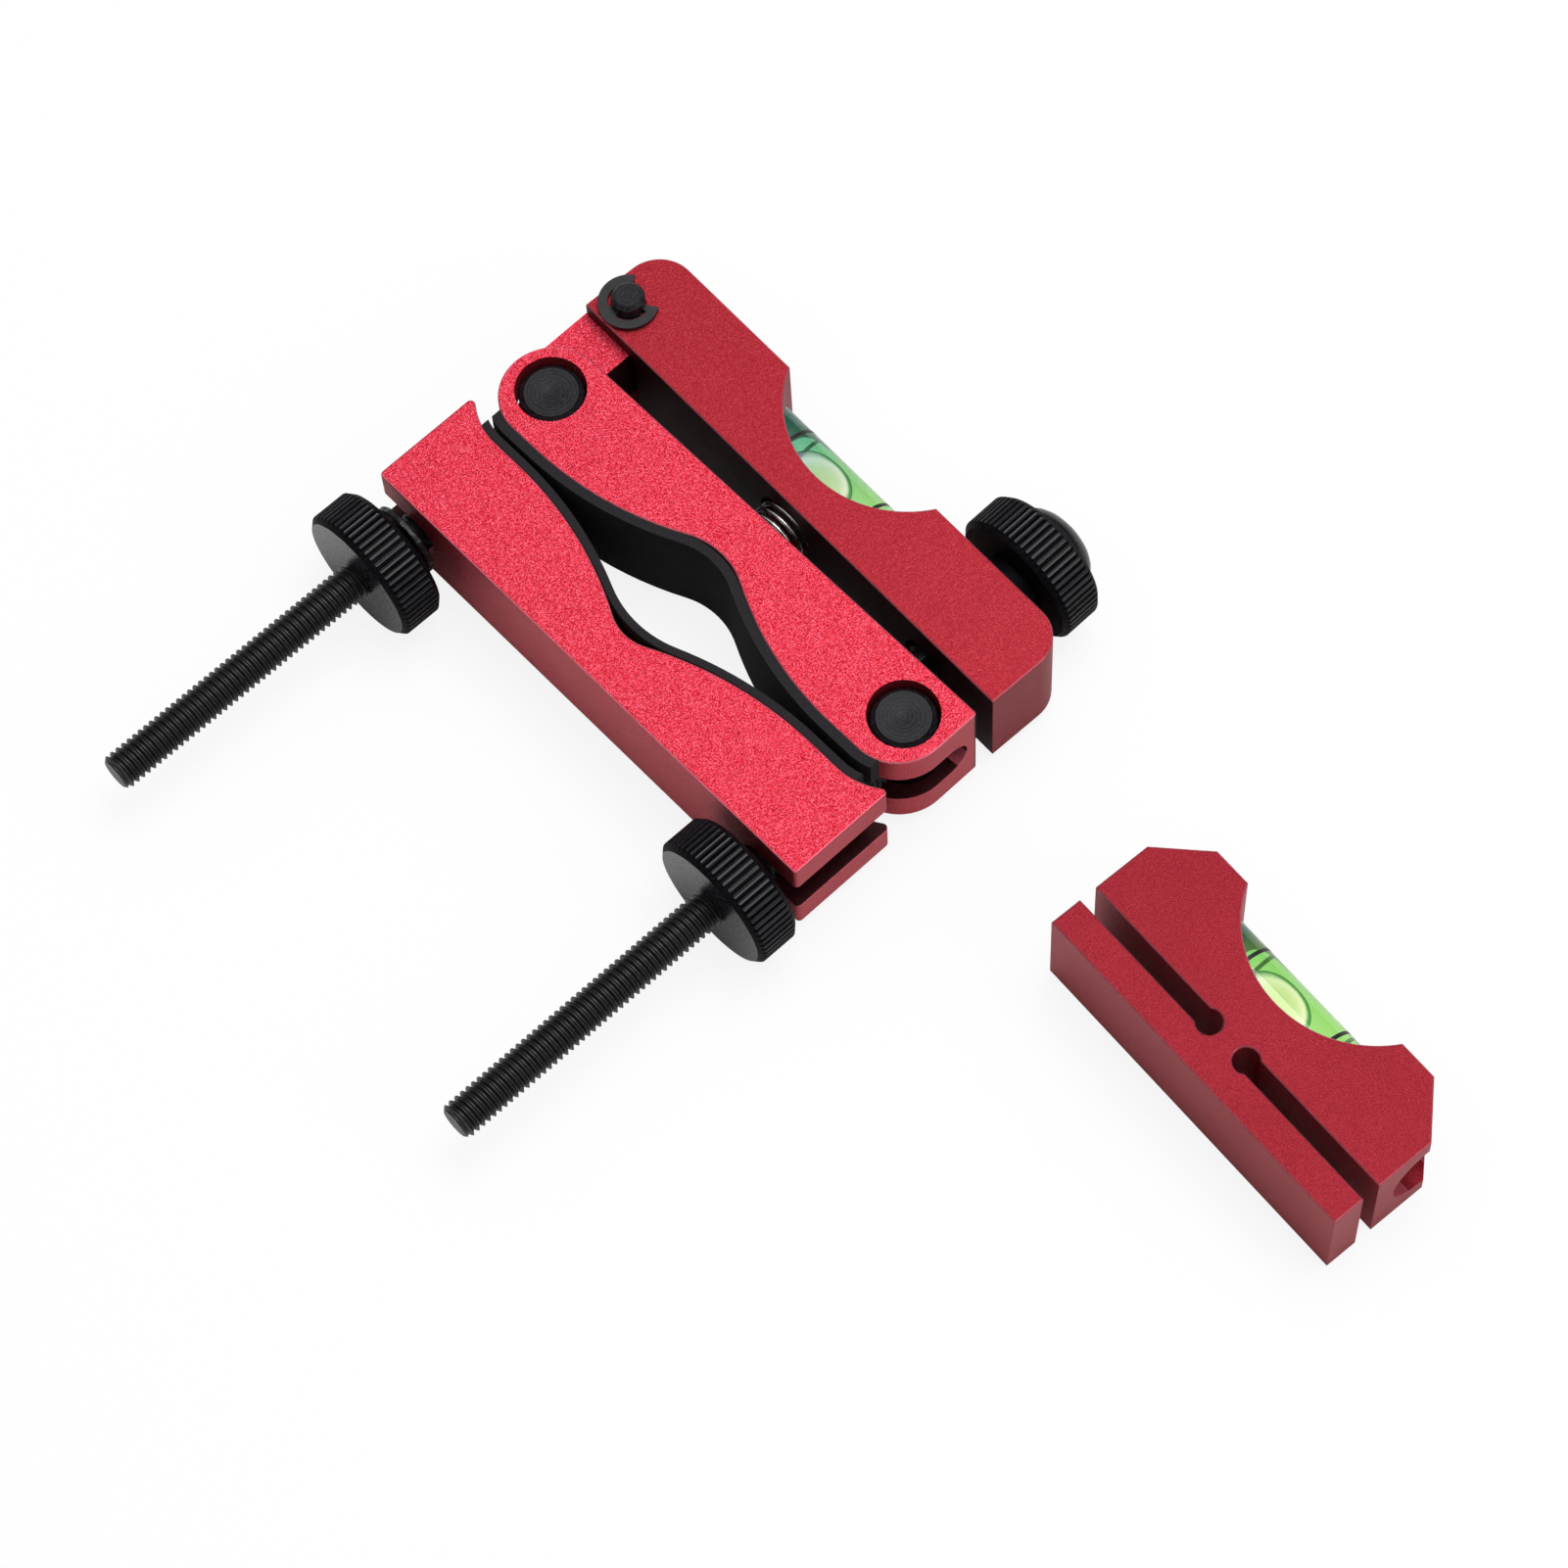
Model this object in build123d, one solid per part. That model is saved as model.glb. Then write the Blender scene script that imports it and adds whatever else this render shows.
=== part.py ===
from build123d import *
from math import cos, hypot, pi, radians, sin, sqrt
import os

# A scope leveling tool: a barrel clamp with a hinged level arm, and a small level that stands beside it.
# The origin is at the centre of the barrel space, at half the clamp's thickness.
# X runs along the jaws, Y from the outer jaw to the level arm, and Z up. Lengths are in millimetres.

# Sizes shared by several pieces
bar_thickness = 12.0
edge_break = 0.15
cut_overrun = 1.0
running_clearance = 0.05
seat_clearance = 0.02
face_clearance = 0.05

# Both jaws and the arm are as long as the clamp
clamp_length = 60.0

# Barrel notch, and the pads that bridge its bottom
jaw_gap = 2.4
notch_end_flat = 3.6
outer_notch_depth = 5.05
outer_notch_radius = 5.3
inner_notch_depth = 5.15
inner_notch_radius = 8.0
outer_pad_thickness = 0.8
outer_pad_depth = 4.2
inner_pad_thickness = 1.0
inner_pad_depth = 4.9
pad_side_ease = 0.9
pad_end_reach = 2.35

# Outer jaw
outer_jaw_width = 10.6
outer_corner_radius = 0.5
horn_tip_radius = 0.5

# Inner jaw, with the lug that carries the arm. It stands a little askew to the outer jaw.
inner_jaw_width = 10.8
inner_jaw_turn = 0.53
inner_jaw_stand_off = 0.08
end_corner_radius = 0.4
lug_width = 6.6
lug_thickness = 7.6
lug_reach = 7.0

# Swing rods and the dowels that they turn on
rod_diameter = 4.0
rod_length = 60.0
rod_end_chamfer = 0.45
rod_lean = 0.65
left_rod_entry = 2.65
right_rod_entry = 1.9
rod_slot_height = 4.4
rod_side_room = 0.3
rod_swing_room = 3.7
dowel_end_inset = 4.9
dowel_offset = 0.3
dowel_diameter = 6.6
dowel_clearance = 0.35
dowel_chamfer = 0.55
dowel_recess = 0.6

# Knurled knobs and their washers. The stand-offs are from the outer jaw's outer face.
knob_diameter = 14.8
knob_length = 4.9
knob_chamfer = 0.6
knob_ridges = 60
knob_ridge_depth = 0.3
washer_diameter = 8.0
washer_thickness = 0.8
left_washer_stand_off = 1.0
left_knob_stand_off = 2.8
right_washer_stand_off = 0.8
right_knob_stand_off = 1.65

# Level arm
arm_width = 10.2
arm_corner_radius = 4.0
arm_tilt = 1.97
arm_pivot_from_end = 2.95
arm_pivot_from_side = 3.15
clevis_depth = 7.2
clevis_clearance = 0.2

# Pivot pin and its clip
pin_diameter = 3.44
pin_head_diameter = 5.2
pin_head_thickness = 0.7
pin_tip_height = 1.9
pin_tip_chamfer = 0.4
pin_groove_diameter = 2.6
clip_stand_off = 0.1
clip_thickness = 0.5
clip_diameter = 6.2
clip_window_diameter = 4.3
clip_mouth_direction = 79.0
clip_mouth_half_angle = 46.0
clip_tab_half_angle = 20.0

# Coil spring between the inner jaw and the arm
spring_diameter = 6.4
spring_wire = 0.5
spring_pitch = 0.95
spring_pocket_diameter = 7.0
jaw_pocket_depth = 2.6
arm_pocket_depth = 0.6
spring_end_clearance = 0.1

# Adjuster at the arm's free end
adjuster_end_inset = 9.65
adjuster_screw_diameter = 3.0
adjuster_shank_diameter = 4.0
adjuster_screw_end = 7.6
adjuster_hole_end = 6.1
adjuster_shoulder_gap = 2.2
adjuster_arm_hole = 5.2
adjuster_washer_diameter = 7.0
adjuster_washer_thickness = 1.77
adjuster_washer_gap = 0.3
button_diameter = 9.7
button_rim = 0.5
button_height = 2.85

# Vials and the scoops that show them
scoop_depth = 6.25
scoop_radius = 12.4
vial_inset = 5.1
vial_diameter = 7.5
vial_wall = 0.75
arm_vial_to_adjuster = 6.35
reference_vial_inset = 5.825
vial_plug_length = 2.5
vial_ring_spacing = 11.2
vial_ring_width = 0.5
vial_ring_depth = 0.15
bubble_length = 7.2
bubble_width = 4.8

# Small level that stands beside the clamp
reference_length = 39.65
reference_width = 16.8
reference_thickness = 12.0
reference_chamfer = 4.7
reference_spring_width = 3.59
reference_slot_width = 1.97
reference_slot_bridge = 5.2
reference_keyhole_diameter = 2.7
reference_stand_off = 20.01
reference_front = 2.63
reference_turn = -3.4

# Places that follow from the sizes
half_thickness = bar_thickness / 2
half_length = clamp_length / 2
pad_flat = jaw_gap / 2
outer_face = -(pad_flat + outer_jaw_width)
arm_side = pad_flat + inner_jaw_width
jaw_end_radius = inner_jaw_width / 2
jaw_end_y = pad_flat + jaw_end_radius
horn_arc_radius = jaw_end_radius + jaw_gap
jaw_arc_centre = half_length - jaw_end_radius
notch_half_length = jaw_arc_centre - notch_end_flat
dowel_x = half_length - dowel_end_inset
dowel_y = jaw_end_y + dowel_offset
rod_radius = rod_diameter / 2
pivot_x = lug_width / 2 - half_length
pivot_y = arm_side + lug_reach
knob_radius = knob_diameter / 2
arm_inner = -arm_pivot_from_side
arm_outer = arm_width - arm_pivot_from_side
arm_middle = half_length - arm_pivot_from_end
inner_frame = Pos(0, inner_jaw_stand_off) * Rot(0, 0, inner_jaw_turn)
arm_frame = inner_frame * Pos(pivot_x, pivot_y) * Rot(0, 0, -arm_tilt)
adjuster_offset = half_length - adjuster_end_inset
adjuster_reach = (adjuster_offset - pivot_x) / cos(radians(arm_tilt))
arm_vial_length = 2 * (adjuster_offset - arm_vial_to_adjuster)
reference_vial_length = reference_length - 2 * reference_vial_inset
arm_face_at_adjuster = pivot_y + arm_outer - adjuster_reach * sin(radians(arm_tilt))
adjuster_knob_face = (arm_face_at_adjuster + adjuster_washer_gap + adjuster_washer_thickness
                      + face_clearance)
reference_frame = (Pos(half_length + reference_stand_off, reference_front, -knob_radius)
                   * Rot(0, 0, reference_turn))


def block(x_from, x_to, y_from, y_to, z_from, z_to):
    middle = Pos((x_from + x_to) / 2, (y_from + y_to) / 2, (z_from + z_to) / 2)
    return middle * Box(x_to - x_from, y_to - y_from, z_to - z_from)


def bar_along_x(radius, x_from, x_to, y=0, z=0):
    return Pos((x_from + x_to) / 2, y, z) * Rot(0, 90, 0) * Cylinder(radius, x_to - x_from)


def bar_along_y(radius, y_from, y_to, x=0, z=0):
    return Pos(x, (y_from + y_to) / 2, z) * Rot(90, 0, 0) * Cylinder(radius, y_to - y_from)


def bar_along_z(radius, z_from, z_to, x=0, y=0):
    return Pos(x, y, (z_from + z_to) / 2) * Cylinder(radius, z_to - z_from)


def upright_edge(shape, x, y):
    return shape.edges().filter_by(Axis.Z).sort_by_distance((x, y, 0))[0]


def break_rims(shape):
    by_height = shape.faces().filter_by(Plane.XY).sort_by(Axis.Z)
    return chamfer(by_height[0].edges() + by_height[-1].edges(), edge_break)


def notch_reach(depth):
    """What the radii of a notch's bottom and of its sides add up to."""
    return (notch_half_length ** 2 + depth ** 2) / (2 * abs(depth))


def notch_curve(flat_end, flat, depth, bottom_radius):
    """A flat line across a bar, with the notch as three tangent arcs. A positive depth goes towards +Y."""
    way = 1 if depth > 0 else -1
    reach = notch_reach(depth)
    tangent_x = notch_half_length * bottom_radius / reach
    bottom_centre = flat + depth - way * bottom_radius
    tangent_y = bottom_centre + way * bottom_radius * (reach - abs(depth)) / reach
    left = (-notch_half_length, flat)
    right = (notch_half_length, flat)
    left_tangent = (-tangent_x, tangent_y)
    right_tangent = (tangent_x, tangent_y)
    curve = Line((-flat_end, flat), left)
    curve += TangentArc(left, left_tangent, tangent=(1, 0))
    curve += ThreePointArc(left_tangent, (0, flat + depth), right_tangent)
    curve += TangentArc(right, right_tangent, tangent=(-1, 0))
    curve += Line(right, (flat_end, flat))
    return curve


def arc_height(centre_height, radius, offset):
    return centre_height - sqrt(radius ** 2 - offset ** 2)


def rod_slots(y_from, y_to):
    """Two slots, round at their inner ends and open past both ends of a jaw."""
    slot_radius = rod_slot_height / 2
    slots = []
    for side in (-1, 1):
        inner_end = side * (dowel_x - rod_side_room)
        slots.append(bar_along_y(slot_radius, y_from, y_to, inner_end))
        near, far = sorted((inner_end, side * (half_length + cut_overrun)))
        slots.append(block(near, far, y_from, y_to, -slot_radius, slot_radius))
    return slots


def outer_jaw():
    horn_end = arc_height(jaw_end_y, horn_arc_radius, half_length - jaw_arc_centre)
    outline = notch_curve(jaw_arc_centre, -pad_flat, -outer_notch_depth, outer_notch_radius)
    outline += TangentArc((jaw_arc_centre, -pad_flat), (half_length, horn_end), tangent=(1, 0))
    outline += TangentArc((-jaw_arc_centre, -pad_flat), (-half_length, horn_end), tangent=(-1, 0))
    outline += Polyline((half_length, horn_end), (half_length, outer_face),
                        (-half_length, outer_face), (-half_length, horn_end))
    jaw = extrude(make_face(outline), amount=half_thickness, both=True)
    jaw = fillet([upright_edge(jaw, side * half_length, outer_face) for side in (-1, 1)], outer_corner_radius)
    jaw = fillet([upright_edge(jaw, side * half_length, horn_end) for side in (-1, 1)], horn_tip_radius)
    return break_rims(jaw) - rod_slots(outer_face - cut_overrun, jaw_end_y)


def pad_outline(depth, bottom_radius, end_radius):
    """The line that one face of a pad follows: the notch, the flats and the turned ends."""
    end_x = jaw_arc_centre + pad_end_reach
    flat = jaw_end_y - end_radius
    end_y = arc_height(jaw_end_y, end_radius, pad_end_reach)
    curve = notch_curve(jaw_arc_centre, flat, depth, bottom_radius)
    curve += TangentArc((jaw_arc_centre, flat), (end_x, end_y), tangent=(1, 0))
    curve += TangentArc((-jaw_arc_centre, flat), (-end_x, end_y), tangent=(-1, 0))
    return curve, end_y


def pad_back_radius(depth, jaw_notch_depth, jaw_notch_radius):
    """The bottom radius of a pad's back. It makes the sides a little wider bends than the notch's."""
    jaw_side_radius = notch_reach(jaw_notch_depth) - jaw_notch_radius
    return notch_reach(depth) - jaw_side_radius - pad_side_ease


def pad(depth, thickness, back_radius, back_end_radius, front_end_radius):
    back, back_end = pad_outline(depth, back_radius, back_end_radius)
    front, front_end = pad_outline(depth, back_radius - thickness, front_end_radius)
    outline = back + front
    for end_x in (-jaw_arc_centre - pad_end_reach, jaw_arc_centre + pad_end_reach):
        outline += Line((end_x, back_end), (end_x, front_end))
    strip = extrude(make_face(outline), amount=half_thickness, both=True)
    return strip - rod_slots(outer_face, jaw_end_y)


def outer_jaw_pad():
    back_radius = pad_back_radius(outer_pad_depth, outer_notch_depth, outer_notch_radius)
    return pad(-outer_pad_depth, outer_pad_thickness, back_radius, horn_arc_radius,
               horn_arc_radius - outer_pad_thickness)


def inner_jaw_pad():
    back_radius = pad_back_radius(inner_pad_depth, inner_notch_depth, inner_notch_radius)
    return pad(inner_pad_depth, inner_pad_thickness, back_radius, jaw_end_radius,
               jaw_end_radius + inner_pad_thickness)


def swing_slot(side):
    """The room that a rod swings through, open at the jaw's end and round towards the arm."""
    slot_radius = rod_slot_height / 2
    round_y = dowel_y + rod_swing_room - slot_radius
    near, far = sorted((side * dowel_x, side * (half_length + cut_overrun)))
    slot = block(near, far, dowel_y - rod_radius, round_y, -slot_radius, slot_radius)
    return slot + bar_along_x(slot_radius, near, far, round_y)


def inner_jaw():
    outline = notch_curve(jaw_arc_centre, pad_flat, inner_notch_depth, inner_notch_radius)
    outline += TangentArc((jaw_arc_centre, pad_flat), (half_length, jaw_end_y), tangent=(1, 0))
    outline += Polyline((half_length, jaw_end_y), (half_length, arm_side), (-jaw_arc_centre, arm_side))
    outline += ThreePointArc((-jaw_arc_centre, arm_side), (-half_length, jaw_end_y), (-jaw_arc_centre, pad_flat))
    jaw = extrude(make_face(outline), amount=half_thickness, both=True)
    jaw = fillet(upright_edge(jaw, half_length, arm_side), end_corner_radius)
    jaw = break_rims(jaw)
    jaw += block(-half_length, lug_width - half_length, jaw_end_y, pivot_y,
                 -lug_thickness / 2, lug_thickness / 2)
    jaw += bar_along_z(lug_width / 2, -lug_thickness / 2, lug_thickness / 2, pivot_x, pivot_y)
    jaw -= rod_slots(-pad_flat, dowel_y)
    dowel_hole = dowel_diameter / 2 + dowel_clearance
    past_face = half_thickness + cut_overrun
    for side in (-1, 1):
        jaw -= swing_slot(side)
        jaw -= bar_along_z(dowel_hole, -past_face, past_face, side * dowel_x, dowel_y)
    jaw -= bar_along_z(pin_diameter / 2 + seat_clearance, -lug_thickness, lug_thickness, pivot_x, pivot_y)
    jaw -= bar_along_y(spring_pocket_diameter / 2, arm_side - jaw_pocket_depth, arm_side + cut_overrun)
    adjuster_hole = adjuster_screw_diameter / 2 + running_clearance
    jaw -= bar_along_y(adjuster_hole, pad_flat + adjuster_hole_end, arm_side + cut_overrun, adjuster_offset)
    return jaw


def rod_frame(side):
    """The frame of a dowel and its rod, with the rod along -Y. Both rods lean the same way."""
    dowel_place = inner_frame * Pos(side * dowel_x, dowel_y)
    return Pos(dowel_place.position) * Rot(0, 0, -rod_lean)


def along_rod(side, stand_off):
    """Where a face that stands off the outer jaw's outer face lies along its rod."""
    return outer_face - stand_off - rod_frame(side).position.Y


def cross_dowel(side):
    half_height = half_thickness - dowel_recess
    dowel = Cylinder(dowel_diameter / 2, half_height + half_height)
    dowel = chamfer(dowel.edges().filter_by(GeomType.CIRCLE), dowel_chamfer)
    dowel -= bar_along_y(rod_radius + seat_clearance, -dowel_diameter, dowel_diameter)
    return rod_frame(side) * dowel


def swing_rod(side, entry):
    rod = chamfer(Cylinder(rod_radius, rod_length).edges().filter_by(GeomType.CIRCLE), rod_end_chamfer)
    return rod_frame(side) * Pos(0, entry - rod_length / 2) * Rot(90, 0, 0) * rod


def clamp_washer(side, stand_off):
    outer = along_rod(side, stand_off)
    inner = outer - washer_thickness
    washer = bar_along_y(washer_diameter / 2, inner, outer)
    washer = chamfer(washer.edges().filter_by(GeomType.CIRCLE), edge_break)
    washer -= bar_along_y(rod_radius + running_clearance, inner - cut_overrun, outer + cut_overrun)
    return rod_frame(side) * washer


def knurled_knob(bore_radius):
    """A knob along +Z, with its rear face on the XY plane."""
    points = []
    for index in range(2 * knob_ridges):
        angle = pi * index / knob_ridges
        radius = knob_radius - knob_ridge_depth * (index % 2)
        points.append((radius * cos(angle), radius * sin(angle)))
    ridges = extrude(make_face(Polyline(*points, close=True)), amount=knob_length)
    envelope = Cylinder(knob_radius, knob_length)
    envelope = chamfer(envelope.edges().filter_by(GeomType.CIRCLE), knob_chamfer)
    knob = ridges & (Pos(0, 0, knob_length / 2) * envelope)
    return knob - bar_along_z(bore_radius, -cut_overrun, knob_length + cut_overrun)


def clamp_knob(side, stand_off):
    rear = along_rod(side, stand_off)
    knob = knurled_knob(rod_radius + running_clearance)
    return rod_frame(side) * Pos(0, rear) * Rot(90, 0, 0) * knob


def vial_bore(x_from, x_to, face):
    return bar_along_x(vial_diameter / 2 + running_clearance, x_from, x_to, face - vial_inset)


def scoop(x, face):
    reach = half_thickness + bar_thickness
    return bar_along_z(scoop_radius, -reach, reach, x, face - scoop_depth + scoop_radius)


def level_arm():
    """The arm in its own frame, with the pivot at the origin and X along the arm."""
    left = -arm_pivot_from_end
    right = clamp_length - arm_pivot_from_end
    arm = block(left, right, arm_inner, arm_outer, -half_thickness, half_thickness)
    arm = fillet([upright_edge(arm, left, arm_outer), upright_edge(arm, right, arm_outer)], arm_corner_radius)
    arm = break_rims(arm - scoop(arm_middle, arm_outer))
    clevis_end = left + clevis_depth
    clevis_half = lug_thickness / 2 + clevis_clearance
    arm -= block(left - cut_overrun, clevis_end, arm_inner - cut_overrun, arm_outer + cut_overrun,
                 -clevis_half, clevis_half)
    past_face = half_thickness + cut_overrun
    arm -= bar_along_z(pin_diameter / 2 + running_clearance, -past_face, past_face)
    arm -= vial_bore(clevis_end - cut_overrun, arm_middle + arm_vial_length / 2 + face_clearance, arm_outer)
    arm -= bar_along_y(spring_pocket_diameter / 2, arm_inner - cut_overrun, arm_inner + arm_pocket_depth,
                       -pivot_x / cos(radians(arm_tilt)))
    arm -= bar_along_y(adjuster_arm_hole / 2, arm_inner - cut_overrun, arm_outer + cut_overrun, adjuster_reach)
    return arm_frame * arm


def arm_pivot_pin():
    top = half_thickness + pin_tip_height
    head_top = -half_thickness - face_clearance
    tip = bar_along_z(pin_diameter / 2, head_top, top)
    pin = chamfer(tip.edges().filter_by(GeomType.CIRCLE).sort_by(Axis.Z)[-1], pin_tip_chamfer)
    head = bar_along_z(pin_head_diameter / 2, head_top - pin_head_thickness, head_top)
    pin += chamfer(head.edges().filter_by(GeomType.CIRCLE), edge_break)
    groove_from = half_thickness + clip_stand_off - seat_clearance
    groove_to = half_thickness + clip_stand_off + clip_thickness + seat_clearance
    groove = bar_along_z(pin_diameter, groove_from, groove_to)
    groove -= bar_along_z(pin_groove_diameter / 2, groove_from, groove_to)
    return Pos(pivot_x, pivot_y) * (pin - groove)


def sector(start, end, radius):
    """A flat wedge from the origin, between two directions in degrees."""
    first, middle, last = [(radius * cos(radians(angle)), radius * sin(radians(angle)))
                           for angle in (start, (start + end) / 2, end)]
    return make_face(Line((0, 0), first) + ThreePointArc(first, middle, last) + Line(last, (0, 0)))


def arm_pivot_clip():
    seat = Circle(pin_groove_diameter / 2 + seat_clearance)
    flat = Circle(clip_diameter / 2) - seat
    mouth_from = clip_mouth_direction - clip_mouth_half_angle
    mouth_to = clip_mouth_direction + clip_mouth_half_angle
    flat -= sector(mouth_from, mouth_to, clip_diameter)
    back = clip_mouth_direction + 180
    window = Circle(clip_window_diameter / 2) - seat
    flat -= window & sector(mouth_to + clip_tab_half_angle, back - clip_tab_half_angle, clip_diameter)
    flat -= window & sector(back + clip_tab_half_angle, mouth_from + 360 - clip_tab_half_angle, clip_diameter)
    return Pos(pivot_x, pivot_y, half_thickness + clip_stand_off) * extrude(flat, amount=clip_thickness)


def spring_ends():
    lower = arm_side - jaw_pocket_depth + spring_end_clearance + spring_wire / 2
    arm_face = pivot_y + arm_inner + pivot_x * sin(radians(arm_tilt))
    upper = arm_face + arm_pocket_depth - spring_end_clearance - spring_wire / 2
    return lower, upper


def arm_spring():
    """A coil along Y. Each quarter turn is two equal arcs that meet with one tangent."""
    lower, upper = spring_ends()
    coil_radius = (spring_diameter - spring_wire) / 2
    quarters = 4 * round((upper - lower) / spring_pitch)
    rise = (upper - lower) / quarters
    half_step = pi / 4
    slope = rise / (2 * half_step * coil_radius)
    tangent_scale = 1 / hypot(1, slope)
    lean = slope * (rise / 2) / sin(half_step)
    joint_radius = sqrt(lean ** 2 + 2 * lean * coil_radius * cos(half_step)
                        + coil_radius ** 2 + (rise / 2) ** 2) - lean
    path = []
    for index in range(quarters):
        angle = 2 * half_step * index
        start = Vector(coil_radius * cos(angle), coil_radius * sin(angle), index * rise)
        joint = Vector(joint_radius * cos(angle + half_step), joint_radius * sin(angle + half_step),
                       (index + 1 / 2) * rise)
        angle_end = angle + 2 * half_step
        end = Vector(coil_radius * cos(angle_end), coil_radius * sin(angle_end), (index + 1) * rise)
        tangent = Vector(-sin(angle), cos(angle), slope) * tangent_scale
        chord = (joint - start).normalized()
        joint_tangent = chord * (2 * tangent.dot(chord)) - tangent
        path.append(TangentArc(start, joint, tangent=tangent))
        path.append(TangentArc(joint, end, tangent=joint_tangent))
    wire = Wire([arc.edge() for arc in path])
    section = Plane(origin=(coil_radius, 0, 0), z_dir=(0, 1, slope)) * Circle(spring_wire / 2)
    print("spring: turns", quarters / 4, "least gap to itself", round(spring_gap(wire, quarters), 3))
    return Pos(0, lower) * Rot(-90, 0, 0) * sweep(section, path=wire)


def spring_gap(wire, quarters):
    """The least distance between points at least half a turn apart along the wire, less the wire itself."""
    points_per_quarter = 12
    count = quarters * points_per_quarter
    points = [wire.position_at(index / count) for index in range(count + 1)]
    apart = 2 * points_per_quarter
    nearest = min((points[a] - points[b]).length
                  for a in range(count + 1) for b in range(a + apart, min(a + 3 * apart, count + 1)))
    return nearest - spring_wire


def adjuster_screw():
    tip = pad_flat + adjuster_screw_end
    shoulder = arm_side + adjuster_shoulder_gap
    thread = bar_along_y(adjuster_screw_diameter / 2, tip, shoulder, adjuster_offset)
    thread = chamfer(thread.edges().filter_by(GeomType.CIRCLE).sort_by(Axis.Y)[0], edge_break)
    end = adjuster_knob_face + knob_length
    return thread + bar_along_y(adjuster_shank_diameter / 2, shoulder, end, adjuster_offset)


def adjuster_washer():
    outer = adjuster_knob_face - face_clearance
    inner = outer - adjuster_washer_thickness
    washer = bar_along_y(adjuster_washer_diameter / 2, inner, outer, adjuster_offset)
    washer = chamfer(washer.edges().filter_by(GeomType.CIRCLE), edge_break)
    return washer - bar_along_y(adjuster_shank_diameter / 2 + running_clearance, inner - cut_overrun,
                                outer + cut_overrun, adjuster_offset)


def adjuster_knob():
    knob = knurled_knob(adjuster_shank_diameter / 2 + seat_clearance)
    return Pos(adjuster_offset, adjuster_knob_face) * Rot(-90, 0, 0) * knob


def adjuster_knob_button():
    radius = button_diameter / 2
    rise = button_height - button_rim
    dome_radius = (radius ** 2 + rise ** 2) / (2 * rise)
    dome = bar_along_z(radius, 0, button_height) & (Pos(0, 0, button_height - dome_radius) * Sphere(dome_radius))
    return Pos(adjuster_offset, adjuster_knob_face + knob_length) * Rot(-90, 0, 0) * dome


def vial(length):
    """A vial along X, centred on the origin, as its five pieces."""
    radius = vial_diameter / 2
    bore = radius - vial_wall
    inside = bore - seat_clearance
    end = length / 2
    ring_middle = vial_ring_spacing / 2
    rings = []
    for middle in (-ring_middle, ring_middle):
        ring_from = middle - vial_ring_width / 2
        ring_to = middle + vial_ring_width / 2
        ring = bar_along_x(radius, ring_from, ring_to)
        rings.append(ring - bar_along_x(radius - vial_ring_depth, ring_from, ring_to))
    tube = bar_along_x(radius, -end, end) - bar_along_x(bore, -end, end)
    tube -= rings
    plug_inner = end - vial_plug_length
    plugs = [bar_along_x(inside, -end, -plug_inner), bar_along_x(inside, plug_inner, end)]
    whole_fluid = bar_along_x(inside, -plug_inner, plug_inner)
    bubble_radius = bubble_width / 2
    bubble_end = bubble_length / 2 - bubble_radius
    capsule = bar_along_x(bubble_radius, -bubble_end, bubble_end)
    capsule += [Pos(side * bubble_end, 0) * Sphere(bubble_radius) for side in (-1, 1)]
    bubble = whole_fluid & (Pos(0, 0, inside) * capsule)
    return {"tube": tube, "fluid": whole_fluid - bubble, "bubble": bubble,
            "rings": Compound(rings), "end_plugs": Compound(plugs)}


def reference_level_body():
    """The small level in its own frame, with its outer left bottom corner at the origin."""
    middle = reference_length / 2
    outline = Polyline((0, 0), (reference_length, 0), (reference_length, reference_width - reference_chamfer),
                       (reference_length - reference_chamfer, reference_width),
                       (reference_chamfer, reference_width), (0, reference_width - reference_chamfer),
                       close=True)
    body = extrude(make_face(outline), amount=reference_thickness)
    body -= scoop(middle, reference_width)
    slot_to = reference_spring_width + reference_slot_width
    slot_middle = (reference_spring_width + slot_to) / 2
    past_top = reference_thickness + cut_overrun
    for side in (-1, 1):
        keyhole = middle + side * reference_slot_bridge / 2
        near, far = sorted((keyhole, middle + side * (middle + cut_overrun)))
        body -= block(near, far, reference_spring_width, slot_to, -cut_overrun, past_top)
        body -= bar_along_z(reference_keyhole_diameter / 2, -cut_overrun, past_top, keyhole, slot_middle)
    body = break_rims(body)
    body -= Pos(0, 0, reference_thickness / 2) * vial_bore(-cut_overrun, reference_length + cut_overrun,
                                                           reference_width)
    return reference_frame * body


pieces = {
    "outer_jaw": outer_jaw(),
    "outer_jaw_pad": outer_jaw_pad(),
    "inner_jaw": inner_frame * inner_jaw(),
    "inner_jaw_pad": inner_frame * inner_jaw_pad(),
    "left_cross_dowel": cross_dowel(-1),
    "right_cross_dowel": cross_dowel(1),
    "left_swing_rod": swing_rod(-1, left_rod_entry),
    "right_swing_rod": swing_rod(1, right_rod_entry),
    "left_clamp_washer": clamp_washer(-1, left_washer_stand_off),
    "right_clamp_washer": clamp_washer(1, right_washer_stand_off),
    "left_clamp_knob": clamp_knob(-1, left_knob_stand_off),
    "right_clamp_knob": clamp_knob(1, right_knob_stand_off),
    "level_arm": level_arm(),
    "arm_pivot_pin": inner_frame * arm_pivot_pin(),
    "arm_pivot_clip": inner_frame * arm_pivot_clip(),
    "arm_spring": inner_frame * arm_spring(),
    "adjuster_screw": inner_frame * adjuster_screw(),
    "adjuster_washer": inner_frame * adjuster_washer(),
    "adjuster_knob": inner_frame * adjuster_knob(),
    "adjuster_knob_button": inner_frame * adjuster_knob_button(),
    "reference_level_body": reference_level_body(),
}
arm_vial_place = arm_frame * Pos(arm_middle, arm_outer - vial_inset)
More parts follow.
